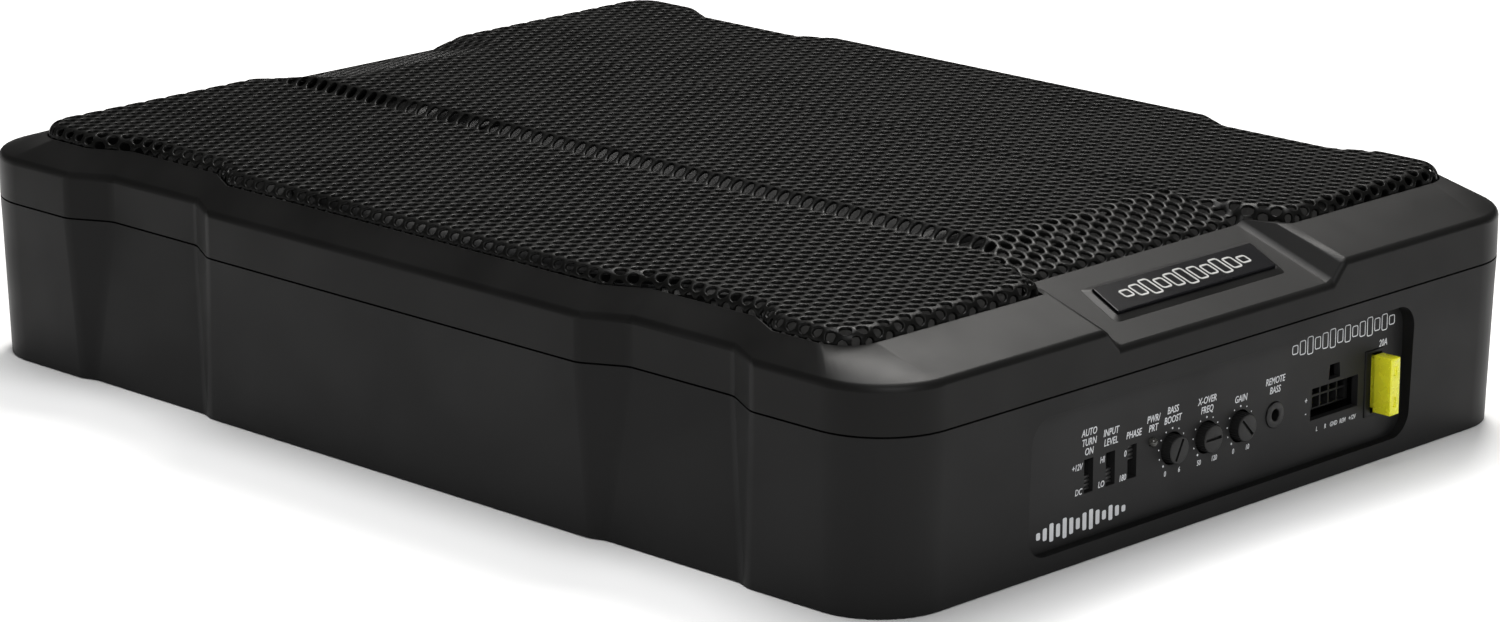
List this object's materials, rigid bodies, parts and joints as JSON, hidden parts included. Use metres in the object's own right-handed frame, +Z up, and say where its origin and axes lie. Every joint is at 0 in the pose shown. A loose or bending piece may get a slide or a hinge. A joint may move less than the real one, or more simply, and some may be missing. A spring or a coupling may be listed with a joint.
{
  "type": "powered car subwoofer",
  "caption": "Flat moulded case with a formed steel grille over a shallow driver, a built-in amplifier and a recessed control panel with switches, dials, jack, power inlet and fuse.",
  "frame": {"origin": "centre of the bounding box in plan, on the plane the case stands on", "axes": "+Z up; +Y along the length, away from the control panel; +X across the width, to the right as seen facing the control panel"},
  "size_m": [0.303, 0.4228, 0.084],
  "materials": {
    "case_plastic": "fine moulded texture, satin",
    "cover_plastic": "fine moulded texture, satin",
    "panel_plastic": "fine moulded texture",
    "black_foam": "closed-cell foam",
    "steel_screw": "zinc plated",
    "black_screw": "black phosphate",
    "grille_steel": "satin black powder coat",
    "gloss_black": "polished",
    "switch_black": "satin",
    "slider_black": "satin",
    "led_lens": "clear moulded lens",
    "pot_grey": "satin",
    "knob_black": "satin",
    "jack_black": "satin",
    "circuit_board": "solder mask",
    "connector_black": "satin",
    "tinned_brass": "tin plated",
    "fuse_yellow": "translucent",
    "zinc_blade": "bright",
    "basket_steel": "powder coat",
    "plated_steel": "zinc plated",
    "ferrite": "ground ferrite",
    "former_film": "film",
    "copper_wire": "enamelled",
    "spider_cloth": "corrugated cloth",
    "cone_paper": "coated paper",
    "roll_rubber": "moulded rubber",
    "extruded_aluminium": "extruded",
    "capacitor_sleeve": "shrink sleeve"
  },
  "bodies": {
    "case": {"lower_shell": "case_plastic", "top_cover": "cover_plastic", "seam_gasket": "black_foam", "cover_screws": "steel_screw", "grille": "grille_steel", "badge_plate": "gloss_black", "control_panel": "panel_plastic", "turn_on_switch": "switch_black", "level_switch": "switch_black", "phase_switch": "switch_black", "power_led": "led_lens", "boost_pot": "pot_grey", "crossover_pot": "pot_grey", "gain_pot": "pot_grey", "remote_jack": "jack_black", "control_board": "circuit_board", "power_connector": "connector_black", "connector_pins": "tinned_brass", "fuse_holder": "connector_black", "fuse_contacts": "tinned_brass", "basket": "basket_steel", "basket_screws": "black_screw", "yoke": "plated_steel", "ring_magnet": "ferrite", "top_plate": "plated_steel", "spider": "spider_cloth", "surround": "roll_rubber", "frame_gasket": "black_foam", "driver_terminals": "tinned_brass", "main_board": "circuit_board", "board_screws": "steel_screw", "heatsink": "extruded_aluminium", "power_transistors": "connector_black", "filter_capacitors": "capacitor_sleeve", "power_toroid": "copper_wire", "output_choke": "copper_wire"},
    "turn_on_slide": {"turn_on_slider": "slider_black"},
    "level_slide": {"level_slider": "slider_black"},
    "phase_slide": {"phase_slider": "slider_black"},
    "boost_dial": {"boost_knob": "knob_black"},
    "crossover_dial": {"crossover_knob": "knob_black"},
    "gain_dial": {"gain_knob": "knob_black"},
    "fuse": {"fuse_body": "fuse_yellow", "fuse_blades": "zinc_blade"},
    "cone_assembly": {"cone": "cone_paper", "dust_cap": "cone_paper", "coil_former": "former_film", "voice_coil": "copper_wire"}
  },
  "joints": [
    {"name": "turn_on_switch_slide", "type": "slide", "parent": "case", "child": "turn_on_slide", "axis": [0, 0, 1], "range_m": [0, 0.005]},
    {"name": "level_switch_slide", "type": "slide", "parent": "case", "child": "level_slide", "axis": [0, 0, 1], "range_m": [0, 0.005]},
    {"name": "phase_switch_slide", "type": "slide", "parent": "case", "child": "phase_slide", "axis": [0, 0, 1], "range_m": [-0.005, 0]},
    {"name": "boost_turn", "type": "hinge", "parent": "case", "child": "boost_dial", "pos_m": [-0.0197, -0.20355, 0.0247], "axis": [0, 1, 0], "range_deg": [-167, 113]},
    {"name": "crossover_turn", "type": "hinge", "parent": "case", "child": "crossover_dial", "pos_m": [-0.0036, -0.20355, 0.0247], "axis": [0, 1, 0], "range_deg": [-50, 230]},
    {"name": "gain_turn", "type": "hinge", "parent": "case", "child": "gain_dial", "pos_m": [0.0125, -0.20355, 0.0247], "axis": [0, 1, 0], "range_deg": [-96, 184]},
    {"name": "fuse_pull", "type": "slide", "parent": "case", "child": "fuse", "axis": [0, -1, 0], "range_m": [0, 0.02]},
    {"name": "cone_travel", "type": "slide", "parent": "case", "child": "cone_assembly", "axis": [0, 0, 1], "range_m": [-0.006, 0.006], "stiffness_N_per_m": 4000, "deforming": ["surround", "spider"]}
  ]
}
